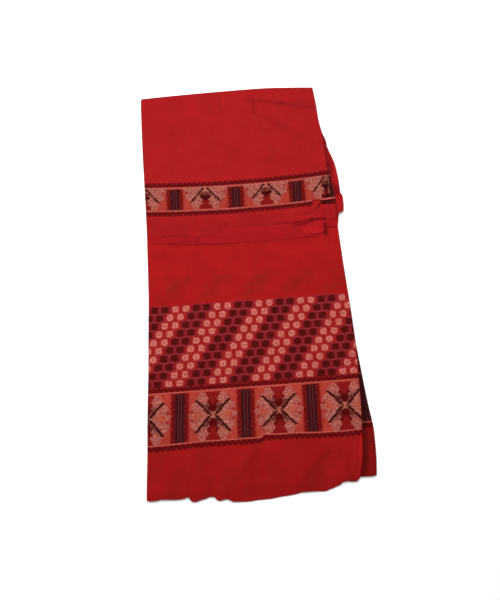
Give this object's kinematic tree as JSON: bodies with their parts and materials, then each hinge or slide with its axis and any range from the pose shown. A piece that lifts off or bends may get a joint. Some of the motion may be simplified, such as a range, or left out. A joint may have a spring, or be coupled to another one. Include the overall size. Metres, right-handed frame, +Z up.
{
  "type": "folded mekhela skirt cloth",
  "caption": "Long woven cotton skirt cloth with patterned borders, folded flat in layers with its waist end turned over the front.",
  "frame": {"origin": "on the surface that the folded cloth lies on, under the middle of its outline", "axes": "+Z up, +Y from the hem to the top fold, +X to the right as seen from above with the hem nearest"},
  "size_m": [0.3767, 0.7392, 0.0158],
  "materials": {
    "front_cloth": "matt plain-woven cotton, red, with a woven flower field and a broad woven border",
    "flap_cloth": "matt plain-woven cotton, red, with a narrow woven border",
    "under_cloth": "matt plain-woven cotton, darker red in the shade of the layer above",
    "hidden_cloth": "matt plain-woven cotton, red"
  },
  "bodies": {
    "root": {"body_layers": "hidden_cloth", "under_panel": "under_cloth", "front_panel": "front_cloth", "flap_layers": "hidden_cloth", "flap_under_panel": "under_cloth", "flap_panel": "flap_cloth"}
  },
  "joints": []
}
